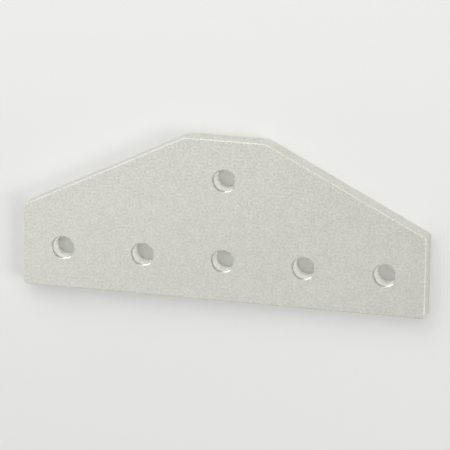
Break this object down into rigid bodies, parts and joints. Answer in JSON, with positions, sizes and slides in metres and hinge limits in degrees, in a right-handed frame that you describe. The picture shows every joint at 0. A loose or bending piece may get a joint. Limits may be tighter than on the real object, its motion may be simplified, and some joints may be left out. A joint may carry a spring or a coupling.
{
  "type": "extrusion joining plate",
  "caption": "Flat tee-shaped aluminium plate with sloping shoulders and round screw holes, for bolting a post square to a rail of slotted profile.",
  "frame": {"origin": "on the axis of the middle hole of the row of five, where the centre lines of rail and post cross, at the mating face", "axes": "+X along the row of five holes, +Y from the row towards the single hole, +Z square to the plate, from the mating face to the face under the screw heads"},
  "size_m": [0.127, 0.0508, 0.0063],
  "materials": {
    "plate": "fine matte clear-anodised, slightly warm light grey"
  },
  "bodies": {
    "root": {"joining_plate": "plate"}
  },
  "joints": []
}
